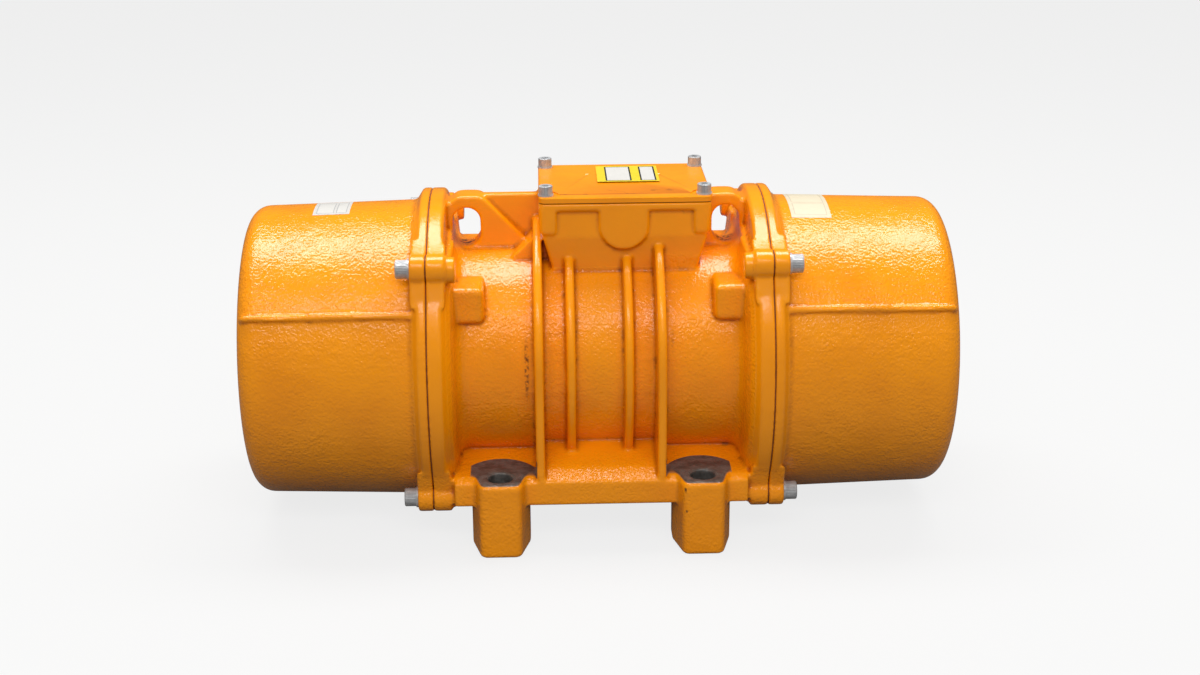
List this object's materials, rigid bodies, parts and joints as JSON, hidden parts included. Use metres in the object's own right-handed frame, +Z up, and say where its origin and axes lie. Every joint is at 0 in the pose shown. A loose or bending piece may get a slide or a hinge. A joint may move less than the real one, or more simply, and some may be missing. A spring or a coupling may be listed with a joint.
{
  "type": "vibration motor",
  "caption": "Foot-mounted vibration motor: ribbed casing with terminal box and lifting eyes, round cast covers over eccentric weights at both shaft ends.",
  "frame": {"origin": "centre of the four foot holes, on the mounting plane under the feet", "axes": "+X along the shaft, +Z up from the mounting plane, -Y the side with the plain entry pad, +Y the side with the cable gland"},
  "size_m": [0.4912, 0.229, 0.247],
  "materials": {
    "cast_enamel": "glossy orange enamel on a cast surface",
    "smooth_enamel": "glossy orange enamel on a smooth plate",
    "gasket": "dark sealing sheet",
    "zinc": "zinc plated",
    "cast_iron": "machined and raw casting",
    "bearing_steel": "ground",
    "brass": "bright",
    "rubber": "matt",
    "weight_iron": "flame cut steel, primed",
    "machined_steel": "turned",
    "aluminium": "satin",
    "spring_steel": "blackened",
    "board_plastic": "moulded",
    "gland_plastic": "moulded",
    "lamination": "stacked sheet",
    "winding": "varnished copper wire"
  },
  "bodies": {
    "motor_body": {"casing": "cast_enamel", "terminal_box_gasket": "gasket", "terminal_box_lid": "smooth_enamel", "lid_screws": "zinc", "lid_washers": "zinc", "terminal_board": "board_plastic", "terminal_studs": "brass", "terminal_links": "brass", "terminal_nuts": "brass", "board_screws": "zinc", "earth_screw": "brass", "cable_gland_body": "gland_plastic", "cable_gland_nut": "gland_plastic", "cable_gland_seal": "rubber", "stator_core": "lamination", "stator_windings": "winding", "left_end_cover": "cast_enamel", "left_cover_gasket": "gasket", "left_cover_screws": "zinc", "left_cover_washers": "zinc", "left_bearing_housing": "cast_iron", "left_housing_screws": "zinc", "left_bearing_outer_ring": "bearing_steel", "left_bearing_cap": "cast_iron", "left_cap_screws": "zinc", "left_grease_seal": "rubber", "right_end_cover": "cast_enamel", "right_cover_gasket": "gasket", "right_cover_screws": "zinc", "right_cover_washers": "zinc", "right_bearing_housing": "cast_iron", "right_housing_screws": "zinc", "right_bearing_outer_ring": "bearing_steel", "right_bearing_cap": "cast_iron", "right_cap_screws": "zinc", "right_grease_seal": "rubber"},
    "rotor": {"shaft": "machined_steel", "rotor_core": "lamination", "rotor_end_rings": "aluminium", "left_bearing_inner_ring": "bearing_steel", "left_fixed_weight": "weight_iron", "left_weight_key": "machined_steel", "left_scale_disc": "aluminium", "left_circlip": "spring_steel", "right_bearing_inner_ring": "bearing_steel", "right_fixed_weight": "weight_iron", "right_weight_key": "machined_steel", "right_scale_disc": "aluminium", "right_circlip": "spring_steel"},
    "left_adjustable_weight": {"left_adjustable_weight": "weight_iron", "left_clamp_screw": "zinc"},
    "left_bearing_cage": {"left_bearing_cage": "brass", "left_bearing_rollers": "bearing_steel"},
    "right_adjustable_weight": {"right_adjustable_weight": "weight_iron", "right_clamp_screw": "zinc"},
    "right_bearing_cage": {"right_bearing_cage": "brass", "right_bearing_rollers": "bearing_steel"}
  },
  "joints": [
    {"name": "rotor_spin", "type": "hinge", "parent": "motor_body", "child": "rotor", "pos_m": [0, 0, 0.1184], "axis": [1, 0, 0], "continuous": true},
    {"name": "left_weight_adjust", "type": "hinge", "parent": "rotor", "child": "left_adjustable_weight", "pos_m": [-0.1805, 0, 0.1184], "axis": [1, 0, 0], "range_deg": [0, 180]},
    {"name": "right_weight_adjust", "type": "hinge", "parent": "rotor", "child": "right_adjustable_weight", "pos_m": [0.1805, 0, 0.1184], "axis": [1, 0, 0], "range_deg": [0, 180]},
    {"name": "left_cage_spin", "type": "hinge", "parent": "motor_body", "child": "left_bearing_cage", "pos_m": [-0.1005, 0, 0.1184], "axis": [1, 0, 0], "continuous": true},
    {"name": "right_cage_spin", "type": "hinge", "parent": "motor_body", "child": "right_bearing_cage", "pos_m": [0.1005, 0, 0.1184], "axis": [1, 0, 0], "continuous": true}
  ],
  "couplings": [
    {"joint": "left_cage_spin", "follows": "rotor_spin", "ratio": 0.407},
    {"joint": "right_cage_spin", "follows": "rotor_spin", "ratio": 0.407}
  ]
}
